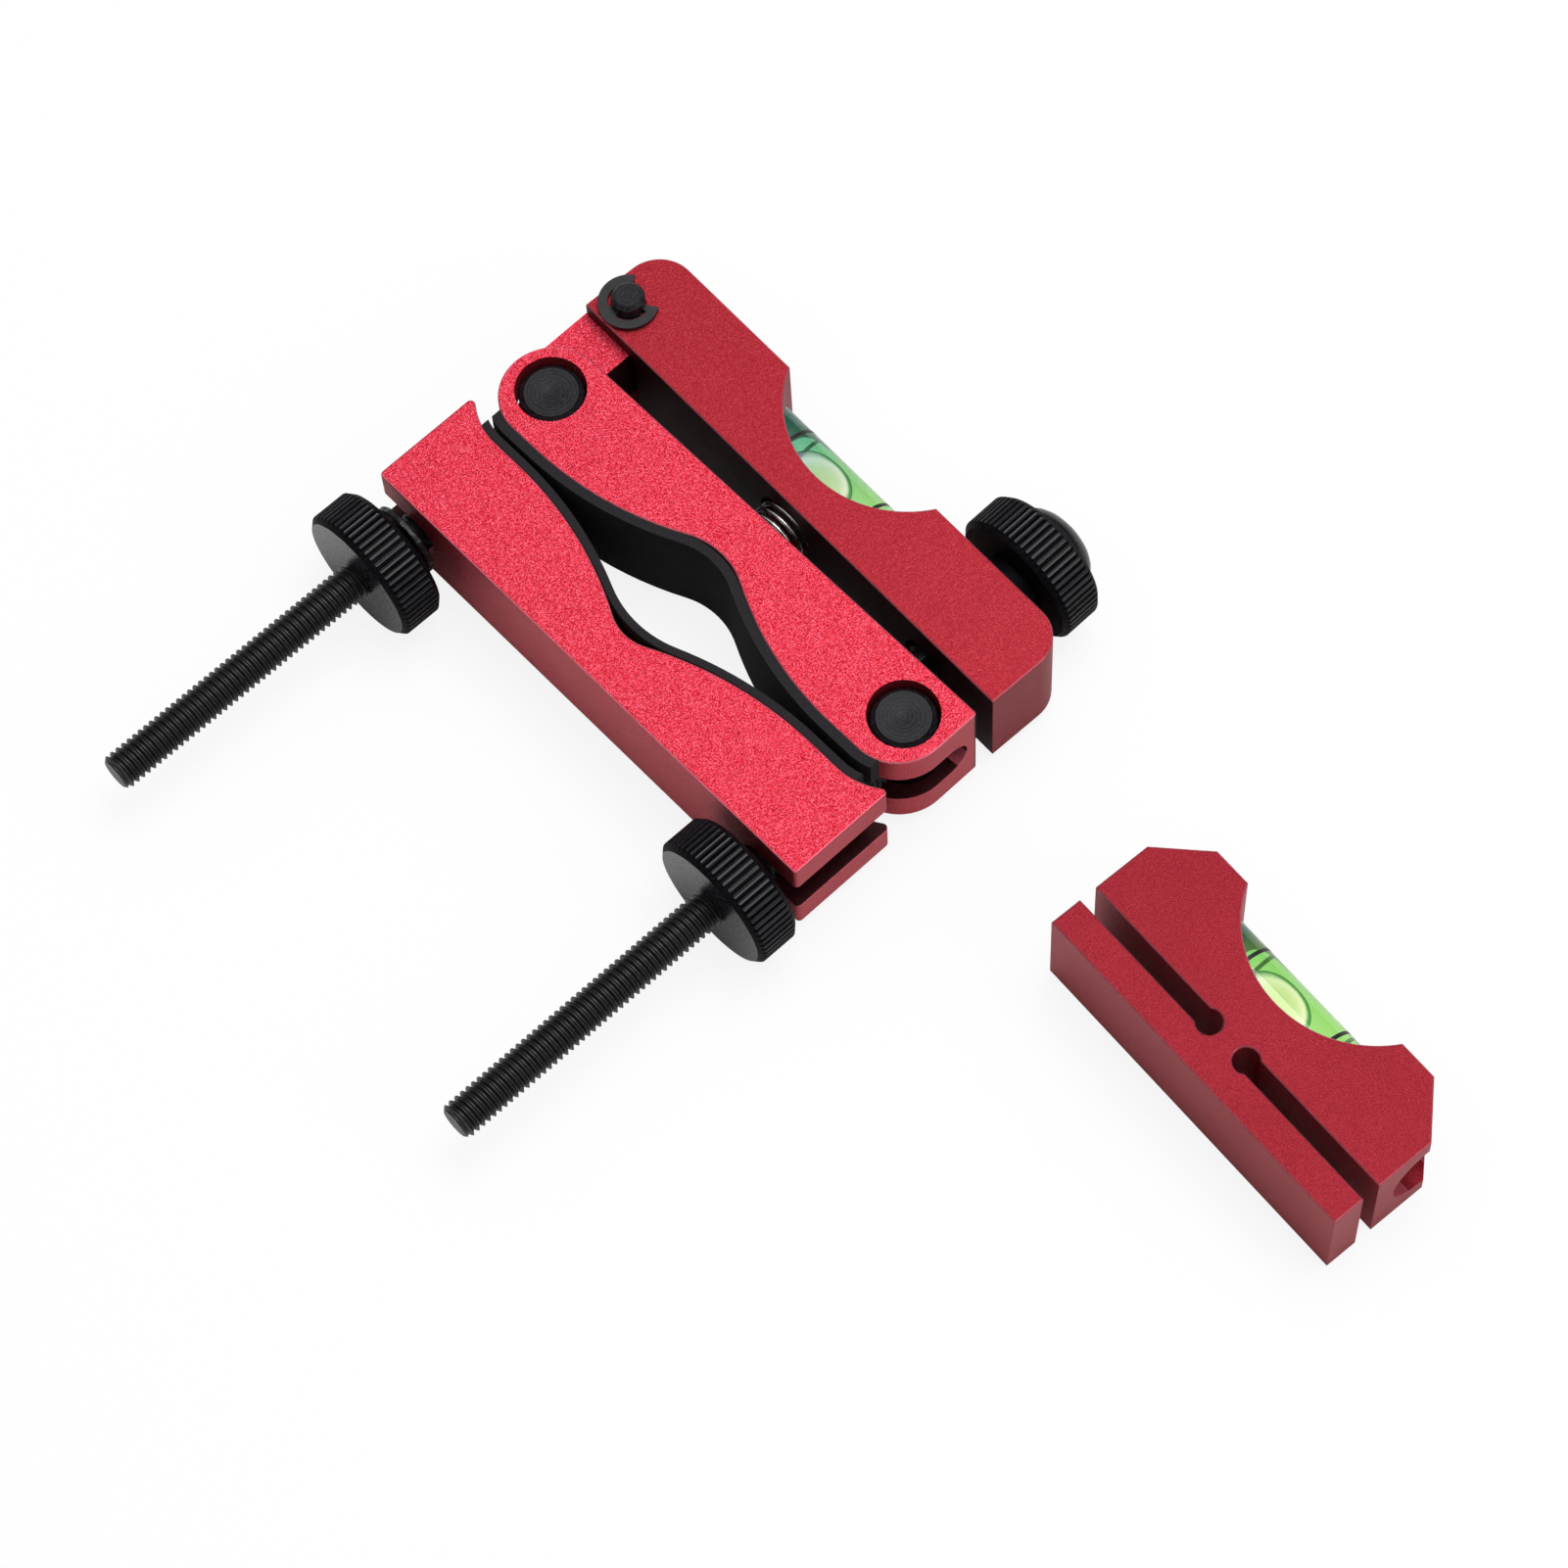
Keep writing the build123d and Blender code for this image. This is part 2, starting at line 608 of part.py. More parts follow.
reference_vial_place = reference_frame * Pos(reference_length / 2, reference_width - vial_inset,
                                             reference_thickness / 2)
for prefix, place, length in (("arm_vial_", arm_vial_place, arm_vial_length),
                              ("reference_vial_", reference_vial_place, reference_vial_length)):
    for piece_name, piece in vial(length).items():
        pieces[prefix + piece_name] = place * piece

os.makedirs("parts", exist_ok=True)
for node_name, piece in pieces.items():
    export_step(piece, "parts/" + node_name + ".step")
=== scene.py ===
import bpy
from math import atan2, cos, hypot, pi, radians, sin
from mathutils import Matrix, Vector


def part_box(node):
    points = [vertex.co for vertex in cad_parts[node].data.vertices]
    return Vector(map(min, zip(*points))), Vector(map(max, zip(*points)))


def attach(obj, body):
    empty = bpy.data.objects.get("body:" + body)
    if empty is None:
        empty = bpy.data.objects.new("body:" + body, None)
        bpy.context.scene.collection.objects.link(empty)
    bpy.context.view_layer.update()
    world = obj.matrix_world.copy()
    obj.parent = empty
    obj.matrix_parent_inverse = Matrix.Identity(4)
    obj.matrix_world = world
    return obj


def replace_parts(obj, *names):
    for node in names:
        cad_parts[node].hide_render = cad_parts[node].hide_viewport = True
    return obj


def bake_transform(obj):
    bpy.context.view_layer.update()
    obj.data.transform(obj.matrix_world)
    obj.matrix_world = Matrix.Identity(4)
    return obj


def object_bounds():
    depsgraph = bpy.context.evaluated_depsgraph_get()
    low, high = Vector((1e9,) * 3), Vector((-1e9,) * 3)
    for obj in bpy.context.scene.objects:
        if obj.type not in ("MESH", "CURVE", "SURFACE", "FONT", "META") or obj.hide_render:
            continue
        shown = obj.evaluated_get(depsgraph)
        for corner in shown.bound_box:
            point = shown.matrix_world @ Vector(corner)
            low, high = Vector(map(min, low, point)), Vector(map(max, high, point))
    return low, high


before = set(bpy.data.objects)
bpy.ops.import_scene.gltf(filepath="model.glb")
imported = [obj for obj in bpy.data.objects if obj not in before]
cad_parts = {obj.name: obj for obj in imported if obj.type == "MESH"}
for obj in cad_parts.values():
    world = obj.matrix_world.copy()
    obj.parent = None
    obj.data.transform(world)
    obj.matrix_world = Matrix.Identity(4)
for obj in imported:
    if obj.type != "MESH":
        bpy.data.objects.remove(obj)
cad_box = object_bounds()

# Sizes in metres
MM = 0.001

# Bars. Inside the slots faces lie within SLOT_HALF of mid-height, and the arm's gap begins at GAP_FACE.
# Faces in both places get painted shade.
EDGE_BREAK = 0.13 * MM
SLOT_HALF = 2.25 * MM
GAP_FACE = 11.6 * MM

# Rods. The thread's crest and foot are given in shares of the pitch, from the ridge's middle.
THREAD_PITCH = 0.7 * MM
THREAD_DEPTH = 0.36 * MM
THREAD_START = 1.03 * THREAD_PITCH
THREAD_CREST = 0.06
THREAD_FOOT = 0.42
THREAD_STEPS = 24
SPARE_TURNS = 3
ROD_CHAMFER = 0.45 * MM

# Knobs. Each ridge takes six columns of points: two are in the valley and two on its dished top.
KNURL_RIDGES = 60
KNURL_COLUMNS = 6
KNURL_VALLEY_COLUMNS = (0, 1)
KNURL_TOP_COLUMNS = (3, 4)
KNURL_DEPTH = 0.34 * MM
KNURL_DISH = 0.05 * MM
KNOB_CHAMFER = 0.6 * MM
KNOB_BLANK_SIDES = 140

# Button, in shares of its radius and height. Each ring of the dome has a radius and a rise.
DOME_SHOULDER = 0.24
DOME_RINGS = ((0.94, 0.20), (0.84, 0.18), (0.70, 0.16), (0.52, 0.12), (0.32, 0.07), (0.12, 0.03))

# Dowels. The inset and the step of the lathe's centre are shares of the radius.
DOWEL_CHAMFER = 0.55 * MM
LATHE_CENTRE_INSET = 0.62
LATHE_CENTRE_STEP = 0.06
LATHE_CENTRE_DEPTH = 0.05 * MM

# Spring
SPRING_WIRE = 0.5 * MM
SPRING_TURNS = 6
SPRING_STEPS = 64
WIRE_SIDES = 20

# Vials
VIAL_BORE = 3.0 * MM
VIAL_PLUG = 2.5 * MM
VIAL_SIDES = 192
RING_WIDTH = 0.42 * MM
RING_SPACING = 11.2 * MM
RING_DEPTH = 0.05 * MM
RING_STAND_OUT = 1.003
BUBBLE_HALF = (3.95 * MM, 2.3 * MM, 1.55 * MM)
BUBBLE_ALONG = -0.75 * MM
BUBBLE_RISE = 1.1 * VIAL_BORE
BUBBLE_GAP = 0.02 * MM
SPIRIT_FIT = 0.998
DYE_AND_SHADE_REACH = 10 * MM

# Meshes. Angles are in degrees.
WELD = 0.002 * MM
FINE_WELD = 0.001 * MM
BLANK_OVERSIZE = 1.001
ROUND_SIDES = 96
FLAT_ANGLE = 0.3
SHARP_ANGLE = 35

# How far a face's normal lies along an axis when it looks that way, stands upright or is a broken edge
ALONG = 0.9
UPRIGHT = 0.3
BROKEN_EDGE_SLOPE = (0.25, 0.92)

# Grain of the finishes
RED_GRAIN = 0.11 * MM
KNOB_GRAIN = 0.08 * MM
OXIDE_GRAIN = 0.12 * MM

# How much of the floor's brightness is its own where the camera sees it
FLOOR_GLOW = 0.86

# How the pieces are turned in the plan
JAW_TURN = radians(0.53)
ROD_TURN = radians(-0.65)
ARM_TURN = radians(-1.44)
REFERENCE_TURN = radians(-3.4)
QUARTER = pi / 2


def deselect_all():
    if bpy.context.object and bpy.context.object.mode != "OBJECT":
        bpy.ops.object.mode_set(mode="OBJECT")
    bpy.ops.object.select_all(action="DESELECT")


def make_active(piece):
    deselect_all()
    piece.select_set(True)
    bpy.context.view_layer.objects.active = piece


def bake_place(piece):
    make_active(piece)
    bpy.ops.object.transform_apply(location=True, rotation=True, scale=True)


def apply_modifier(piece, kind, **settings):
    make_active(piece)
    modifier = piece.modifiers.new(kind.lower(), kind)
    for key, value in settings.items():
        setattr(modifier, key, value)
    bpy.ops.object.modifier_apply(modifier=modifier.name)


def smooth(piece, angle=30):
    make_active(piece)
    bpy.ops.object.shade_smooth_by_angle(angle=radians(angle))
    apply_modifier(piece, "WEIGHTED_NORMAL", keep_sharp=True)


def choose_faces(piece, test):
    """Goes to edit mode with the faces selected that pass the test."""
    make_active(piece)
    bpy.ops.object.mode_set(mode="EDIT")
    bpy.ops.mesh.select_all(action="DESELECT")
    bpy.ops.mesh.select_mode(type="FACE")
    bpy.ops.object.mode_set(mode="OBJECT")
    for face in piece.data.polygons:
        face.select = test(face)
    bpy.ops.object.mode_set(mode="EDIT")


def choose_points(piece, test):
    """Goes to edit mode with the points selected that pass the test."""
    make_active(piece)
    bpy.ops.object.mode_set(mode="EDIT")
    bpy.ops.mesh.select_mode(type="VERT")
    bpy.ops.mesh.select_all(action="DESELECT")
    bpy.ops.object.mode_set(mode="OBJECT")
    for point in piece.data.vertices:
        point.select = test(point)
    bpy.ops.object.mode_set(mode="EDIT")


def finish_mesh(piece):
    """Welds a piece's double points and turns its faces outwards."""
    make_active(piece)
    bpy.ops.object.mode_set(mode="EDIT")
    bpy.ops.mesh.select_all(action="SELECT")
    bpy.ops.mesh.remove_doubles(threshold=FINE_WELD)
    bpy.ops.mesh.normals_make_consistent(inside=False)
    bpy.ops.object.mode_set(mode="OBJECT")


def cut_with(piece, tool, operation):
    apply_modifier(piece, "BOOLEAN", object=tool, operation=operation, solver="EXACT")
    bpy.data.objects.remove(tool)


def round_bar(name, radius, length, sides=ROUND_SIDES):
    """A round bar along Z that stands on the origin's plane."""
    deselect_all()
    bpy.ops.mesh.primitive_cylinder_add(vertices=sides, radius=radius, depth=length,
                                        location=(0, 0, length / 2))
    bar = bpy.context.object
    bar.name = name
    bake_place(bar)
    return bar


def is_cap(face):
    return abs(face.normal.z) > ALONG


def chamfered_bar(name, radius, length, chamfer, sides=ROUND_SIDES):
    bar = round_bar(name, radius, length, sides)
    choose_faces(bar, is_cap)
    bpy.ops.mesh.bevel(offset=chamfer, offset_type="OFFSET", segments=1, affect="EDGES")
    bpy.ops.object.mode_set(mode="OBJECT")
    return bar


def stand_on(piece, place, direction):
    """Turns a piece's +Z to a direction, moves its origin to the place and bakes both into the mesh."""
    turn = Vector((0, 0, 1)).rotation_difference(Vector(direction))
    piece.matrix_world = Matrix.Translation(Vector(place)) @ turn.to_matrix().to_4x4()
    bake_place(piece)
    return piece


def middle_of(node):
    low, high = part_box(node)
    return (Vector(low) + Vector(high)) / 2


def turned_along_y(turn):
    """The direction that +Y takes when it is turned in the plan."""
    return Vector((-sin(turn), cos(turn), 0))


def round_size(node, turn):
    """The radius and the length of a packed round piece that lies along the turned Y."""
    low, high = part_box(node)
    radius = (high[2] - low[2]) / 2
    length = (high[1] - low[1] - 2 * radius * abs(sin(turn))) / cos(turn)
    return radius, length


def dress(piece, body, material, *nodes):
    piece.data.materials.clear()
    piece.data.materials.append(material)
    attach(piece, body)
    if nodes:
        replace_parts(piece, *nodes)
    return piece


def smooth_copy(node, body, material):
    """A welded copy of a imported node, with smooth curves and crisp edges."""
    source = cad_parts[node]
    piece = bpy.data.objects.new(node + "_finished", source.data.copy())
    bpy.context.scene.collection.objects.link(piece)
    make_active(piece)
    bpy.ops.object.mode_set(mode="EDIT")
    bpy.ops.mesh.select_all(action="SELECT")
    bpy.ops.mesh.remove_doubles(threshold=WELD)
    bpy.ops.mesh.dissolve_limited(angle_limit=radians(FLAT_ANGLE))
    bpy.ops.object.mode_set(mode="OBJECT")
    smooth(piece)
    return dress(piece, body, material, node)


def machined_bar(node, body, material, edge_highlight, in_gap=lambda face: False):
    """A jaw or level with softly broken edges, which carry a painted highlight. The walls of its slots and
    of the arm's gap are darkened with painted shade.
    """
    piece = smooth_copy(node, body, material)
    apply_modifier(piece, "BEVEL", width=EDGE_BREAK, segments=2, limit_method="ANGLE",
                   angle_limit=radians(SHARP_ANGLE), use_clamp_overlap=True)
    smooth(piece)
    middle = middle_of(node).z
    least, most = BROKEN_EDGE_SLOPE
    piece.data.materials.append(SLOT_SHADE_RED)
    piece.data.materials.append(edge_highlight)
    for face in piece.data.polygons:
        # Broken edges get the painted highlight.
        if least < abs(face.normal.z) < most:
            face.material_index = 2
            continue
        heights = [abs(piece.data.vertices[index].co.z - middle) for index in face.vertices]
        # Faces inside the slots and in the arm's gap get the painted shade.
        if max(heights) < SLOT_HALF or in_gap(face):
            face.material_index = 1
    return piece


def faces_arm(face):
    """Whether an upright face of the inner jaw lies in the arm's gap, where it is given painted shade."""
    return abs(face.normal.z) < UPRIGHT and face.center.y > GAP_FACE


def faces_jaw(face):
    """Whether a face of the arm looks at the inner jaw, so that it is given painted shade."""
    return face.normal.y < -ALONG


# Materials

def new_material(name):
    material = bpy.data.materials.new(name)
    material.use_nodes = True
    shader = material.node_tree.nodes["Principled BSDF"]
    return material, material.node_tree, shader


def add_node(tree, kind, **settings):
    node = tree.nodes.new(kind)
    for key, value in settings.items():
        setattr(node, key, value)
    return node


def object_noise(tree, grain, detail=2.0, roughness=0.5):
    """Noise in the piece's own coordinates. The grain is its size in metres."""
    place = add_node(tree, "ShaderNodeTexCoord")
    noise = add_node(tree, "ShaderNodeTexNoise")
    noise.inputs["Scale"].default_value = 1 / grain
    noise.inputs["Detail"].default_value = detail
    noise.inputs["Roughness"].default_value = roughness
    tree.links.new(place.outputs["Object"], noise.inputs["Vector"])
    return noise.outputs["Fac"]


def object_cells(tree, grain):
    place = add_node(tree, "ShaderNodeTexCoord")
    cells = add_node(tree, "ShaderNodeTexVoronoi")
    cells.inputs["Scale"].default_value = 1 / grain
    tree.links.new(place.outputs["Object"], cells.inputs["Vector"])
    return cells.outputs["Distance"]


def ramp(tree, source, stops):
    """A colour ramp. Each stop is a place and a colour."""
    node = add_node(tree, "ShaderNodeValToRGB")
    elements = node.color_ramp.elements
    for index, (place, colour) in enumerate(stops):
        element = elements[index] if index < 2 else elements.new(place)
        element.position = place
        element.color = (*colour, 1)
    tree.links.new(source, node.inputs["Fac"])
    return node.outputs["Color"]


def spread(tree, source, low, high):
    node = add_node(tree, "ShaderNodeMapRange")
    node.inputs["To Min"].default_value = low
    node.inputs["To Max"].default_value = high
    tree.links.new(source, node.inputs["Value"])
    return node.outputs["Result"]


def add_bump(tree, shader, source, depth, strength=1.0, before=None):
    bump = add_node(tree, "ShaderNodeBump")
    bump.inputs["Strength"].default_value = strength
    bump.inputs["Distance"].default_value = depth
    tree.links.new(source, bump.inputs["Height"])
    if before:
        tree.links.new(before, bump.inputs["Normal"])
    tree.links.new(bump.outputs["Normal"], shader.inputs["Normal"])
    return bump.outputs["Normal"]


def with_painted_sides(tree, colour, painted_side_colour):
    """Upright faces take their own colour, set to how bright the sides look under the light: painted shade
    where it is darker than the top, painted light where it is lighter.
    """
    place = add_node(tree, "ShaderNodeTexCoord")
    parts = add_node(tree, "ShaderNodeSeparateXYZ")
    tree.links.new(place.outputs["Normal"], parts.inputs["Vector"])
    upright = add_node(tree, "ShaderNodeMath", operation="ABSOLUTE")
    tree.links.new(parts.outputs["Z"], upright.inputs[0])
    flat = add_node(tree, "ShaderNodeMapRange", interpolation_type="SMOOTHSTEP")
    flat.inputs["From Min"].default_value = 0.15
    flat.inputs["From Max"].default_value = 0.85
    tree.links.new(upright.outputs[0], flat.inputs["Value"])
    mix = add_node(tree, "ShaderNodeMix", data_type="RGBA")
    tree.links.new(flat.outputs["Result"], mix.inputs[0])
    dye_and_shade = object_noise(tree, 2 * MM, detail=2.0)
    paler = tuple(0.94 * value for value in painted_side_colour)
    tree.links.new(ramp(tree, dye_and_shade, [(0.3, paler), (0.7, painted_side_colour)]), mix.inputs[6])
    tree.links.new(colour, mix.inputs[7])
    return mix.outputs[2]


def blasted_aluminium(name, dark, middle, light, side, grain, depth, rough_low, rough_high, metallic):
    """Anodised aluminium whose blasted grain glitters and varies in colour. The grain's pale end is partly
    a painted glint.
    """
    material, tree, shader = new_material(name)
    shader.inputs["Metallic"].default_value = metallic
    shader.inputs["Specular IOR Level"].default_value = 0.3
    fine = object_noise(tree, grain, detail=3.0, roughness=0.6)
    # The grain runs from dark to a pale stop, and the pale specks are partly painted glints.
    colour = ramp(tree, fine, [(0.37, dark), (0.65, light), (0.5, middle)])
    tree.links.new(with_painted_sides(tree, colour, side), shader.inputs["Base Color"])
    broad = object_noise(tree, 9 * MM, detail=2.0)
    tree.links.new(spread(tree, broad, rough_low, rough_high), shader.inputs["Roughness"])
    pits = add_bump(tree, shader, object_cells(tree, 1.6 * grain), depth, strength=0.8)
    add_bump(tree, shader, fine, depth, before=pits)
    return material


def painted_edge_highlight(name, colour):
    """Painted highlight for broken edges: a patchy red, paler than the tops, that stands in for the light
    the edges catch.
    """
    material, tree, shader = new_material(name)
    shader.inputs["Metallic"].default_value = 0.7
    highlight_patches = object_noise(tree, 0.6 * MM, detail=4.0, roughness=0.7)
    deeper = tuple(0.7 * value for value in colour)
    tree.links.new(ramp(tree, highlight_patches, [(0.3, deeper), (0.7, colour)]), shader.inputs["Base Color"])
    tree.links.new(spread(tree, highlight_patches, 0.35, 0.5), shader.inputs["Roughness"])
    add_bump(tree, shader, highlight_patches, 0.015 * MM, strength=0.5)
    return material


def painted_slot_shade(name):
    """Painted shade for the walls of slots and of the arm's gap: a near-black red with faint marks."""
    material, tree, shader = new_material(name)
    shader.inputs["Metallic"].default_value = 0.4
    shader.inputs["Specular IOR Level"].default_value = 0.2
    marks = object_noise(tree, 0.4 * MM, detail=3.0)
    tree.links.new(ramp(tree, marks, [(0.3, (0.020, 0.002, 0.003)), (0.7, (0.045, 0.004, 0.006))]),
                   shader.inputs["Base Color"])
    tree.links.new(spread(tree, marks, 0.4, 0.6), shader.inputs["Roughness"])
    add_bump(tree, shader, marks, 0.02 * MM, strength=0.6)
    return material


def blackened(name, colour, rough_low, rough_high, grain, depth, gloss):
    """Black oxide or black anodising over machined metal."""
    material, tree, shader = new_material(name)
    shader.inputs["Specular IOR Level"].default_value = gloss
    mottle = object_noise(tree, 6 * grain, detail=3.0)
    lighter = tuple(1.8 * value + 0.002 for value in colour)
    tree.links.new(ramp(tree, mottle, [(0.35, colour), (0.7, lighter)]), shader.inputs["Base Color"])
    tree.links.new(spread(tree, mottle, rough_low, rough_high), shader.inputs["Roughness"])
    add_bump(tree, shader, object_noise(tree, grain, detail=2.0), depth, strength=0.6)
    return material


def turned_black(name, centre):
    """Blackened steel whose end face keeps the scratched rings of turning around the centre."""
    material, tree, shader = new_material(name)
    shader.inputs["Specular IOR Level"].default_value = 0.2
    place = add_node(tree, "ShaderNodeTexCoord")
    about_centre = add_node(tree, "ShaderNodeMapping")
    about_centre.inputs["Location"].default_value = (-centre.x, -centre.y, 0)
    tree.links.new(place.outputs["Object"], about_centre.inputs["Vector"])
    rings = add_node(tree, "ShaderNodeTexWave", wave_type="RINGS", rings_direction="Z")
    rings.inputs["Scale"].default_value = 1 / (1.3 * MM)
    rings.inputs["Distortion"].default_value = 5.0
    rings.inputs["Detail"].default_value = 3.0
    rings.inputs["Detail Scale"].default_value = 2.5
    tree.links.new(about_centre.outputs["Vector"], rings.inputs["Vector"])
    scuff = object_noise(tree, 0.45 * MM, detail=5.0, roughness=0.75)
    faint = spread(tree, rings.outputs["Fac"], 0.0, 0.22)
    worn = add_node(tree, "ShaderNodeMath", operation="ADD")
    tree.links.new(faint, worn.inputs[0])
    tree.links.new(scuff, worn.inputs[1])
    colour = ramp(tree, worn.outputs[0], [(0.42, (0.002, 0.002, 0.003)), (0.86, (0.022, 0.022, 0.028))])
    tree.links.new(colour, shader.inputs["Base Color"])
    tree.links.new(spread(tree, scuff, 0.30, 0.55), shader.inputs["Roughness"])
    add_bump(tree, shader, worn.outputs[0], 0.04 * MM, strength=0.8)
    return material


def rubber(name):
    material, tree, shader = new_material(name)
    grain = object_noise(tree, 0.25 * MM, detail=4.0)
    tree.links.new(ramp(tree, grain, [(0.3, (0.008, 0.007, 0.009)), (0.75, (0.024, 0.021, 0.024))]),
                   shader.inputs["Base Color"])
    shader.inputs["Specular IOR Level"].default_value = 0.25
    tree.links.new(spread(tree, grain, 0.7, 0.92), shader.inputs["Roughness"])
    add_bump(tree, shader, grain, 0.02 * MM, strength=0.7)
    return material


def nickel(name):
    material, tree, shader = new_material(name)
    shader.inputs["Metallic"].default_value = 1.0
    drawn = object_noise(tree, 0.3 * MM, detail=3.0)
    tree.links.new(ramp(tree, drawn, [(0.3, (0.42, 0.41, 0.40)), (0.7, (0.72, 0.71, 0.70))]),
                   shader.inputs["Base Color"])
    tree.links.new(spread(tree, drawn, 0.14, 0.3), shader.inputs["Roughness"])
    add_bump(tree, shader, drawn, 0.004 * MM, strength=0.5)
    return material


def clear_vial(name, index):
    """Clear acrylic. The index is relative to what lies on the far side of the face."""
    material, tree, shader = new_material(name)
    shader.inputs["Base Color"].default_value = (0.95, 0.99, 0.95, 1)
    shader.inputs["Transmission Weight"].default_value = 1.0
    shader.inputs["IOR"].default_value = index
    smear = object_noise(tree, 4 * MM, detail=2.0)
    tree.links.new(spread(tree, smear, 0.0, 0.05), shader.inputs["Roughness"])
    return material


def from_vial_place(tree, place, turn):
    """A mapping whose vector runs along and across the vial from the place."""
    where = add_node(tree, "ShaderNodeTexCoord")
    mapping = add_node(tree, "ShaderNodeMapping", vector_type="TEXTURE")
    mapping.inputs["Location"].default_value = place
    mapping.inputs["Rotation"].default_value = (0, 0, turn)
    tree.links.new(where.outputs["Object"], mapping.inputs["Vector"])
    return mapping


def vial_spirit(name, place, turn, dye_and_shade_stops):
    """The spirit, yellow-green and turning to a darker teal towards its left end, which is painted shade
    along the vial. It glows with its own colour, a painted light. The tube bends the light.
    """
    material, tree, shader = new_material(name)
    shader.inputs["Transmission Weight"].default_value = 1.0
    shader.inputs["IOR"].default_value = 1.001
    shader.inputs["Roughness"].default_value = 0.0
    # Painted light: the spirit glows with its own colour.
    shader.inputs["Emission Strength"].default_value = 0.15
    along = from_vial_place(tree, place, turn)
    parts = add_node(tree, "ShaderNodeSeparateXYZ")
    tree.links.new(along.outputs["Vector"], parts.inputs["Vector"])
    reach = add_node(tree, "ShaderNodeMapRange")
    reach.inputs["From Min"].default_value = -DYE_AND_SHADE_REACH
    reach.inputs["From Max"].default_value = DYE_AND_SHADE_REACH
    tree.links.new(parts.outputs["X"], reach.inputs["Value"])
    cloud = spread(tree, object_noise(tree, 4 * MM, detail=1.0), -0.06, 0.06)
    uneven = add_node(tree, "ShaderNodeMath", operation="ADD")
    tree.links.new(reach.outputs["Result"], uneven.inputs[0])
    tree.links.new(cloud, uneven.inputs[1])
    dye_and_shade = ramp(tree, uneven.outputs[0], dye_and_shade_stops)
    tree.links.new(dye_and_shade, shader.inputs["Base Color"])
    tree.links.new(dye_and_shade, shader.inputs["Emission Color"])
    return material


def air_bubble(name, place, turn):
    """Air, which takes no dye and shows paler through the green spirit. It glows with painted light,
    brightest in a band inside its rim, and its rim is a painted dark outline.
    """
    material, tree, shader = new_material(name)
    shader.inputs["Transmission Weight"].default_value = 1.0
    shader.inputs["IOR"].default_value = 1.001
    # Painted light: the bubble glows through the emission ramp below.
    shader.inputs["Emission Strength"].default_value = 1.0
    haze = object_noise(tree, 3 * MM, detail=1.0)
    from_middle = from_vial_place(tree, place, turn)
    from_middle.inputs["Scale"].default_value = (BUBBLE_HALF[0], BUBBLE_HALF[1], 1)
    share = add_node(tree, "ShaderNodeVectorMath", operation="LENGTH")
    tree.links.new(from_middle.outputs["Vector"], share.inputs[0])
    outward = share.outputs["Value"]
    # Base colour is white inside with a painted dark outline at the rim. Emission is a painted bright band
    # just inside the rim.
    tree.links.new(ramp(tree, outward, [(0.84, (1.0, 1.0, 1.0)), (0.93, (0.08, 0.30, 0.17))]),
                   shader.inputs["Base Color"])
    tree.links.new(ramp(tree, outward, [(0.30, (0.25, 0.04, 0.11)), (0.90, (0.005, 0.010, 0.005)),
                                        (0.62, (0.31, 0.08, 0.22)), (0.80, (0.52, 0.16, 0.50))]),
                   shader.inputs["Emission Color"])
    tree.links.new(spread(tree, haze, 0.0, 0.05), shader.inputs["Roughness"])
    return material


def printed_black(name):
    material, tree, shader = new_material(name)
    ink = object_noise(tree, 0.2 * MM, detail=2.0)
    tree.links.new(ramp(tree, ink, [(0.3, (0.004, 0.004, 0.004)), (0.7, (0.012, 0.012, 0.012))]),
                   shader.inputs["Base Color"])
    tree.links.new(spread(tree, ink, 0.35, 0.55), shader.inputs["Roughness"])
    return material


def satin_plug(name):
    material, tree, shader = new_material(name)
    grain = object_noise(tree, 0.5 * MM, detail=3.0)
    tree.links.new(ramp(tree, grain, [(0.3, (0.62, 0.66, 0.60)), (0.7, (0.74, 0.78, 0.72))]),
                   shader.inputs["Base Color"])
    tree.links.new(spread(tree, grain, 0.35, 0.5), shader.inputs["Roughness"])
    return material


# Each red's side colour is painted light and shade on the upright faces: darker than the top on the jaw and
# the arm, lighter on the level.
JAW_RED = blasted_aluminium(
    "jaw_red_blasted", dark=(0.42, 0.002, 0.012), middle=(0.75, 0.022, 0.052), light=(1.0, 0.17, 0.25),
    side=(0.52, 0.035, 0.055), grain=RED_GRAIN, depth=0.060 * MM,
    rough_low=0.30, rough_high=0.42, metallic=0.75)
ARM_RED = blasted_aluminium(
    "arm_red_matte", dark=(0.26, 0.006, 0.014), middle=(0.34, 0.011, 0.023), light=(0.44, 0.038, 0.053),
    side=(0.24, 0.004, 0.010), grain=RED_GRAIN, depth=0.028 * MM,
    rough_low=0.40, rough_high=0.50, metallic=0.65)
LEVEL_RED = blasted_aluminium(
    "level_red_matte", dark=(0.19, 0.003, 0.010), middle=(0.245, 0.006, 0.016), light=(0.32, 0.028, 0.040),
    side=(0.36, 0.030, 0.042), grain=RED_GRAIN, depth=0.028 * MM,
    rough_low=0.40, rough_high=0.50, metallic=0.65)
# Painted shade for the walls of slots and of the arm's gap
SLOT_SHADE_RED = painted_slot_shade("slot_red_painted_shade")
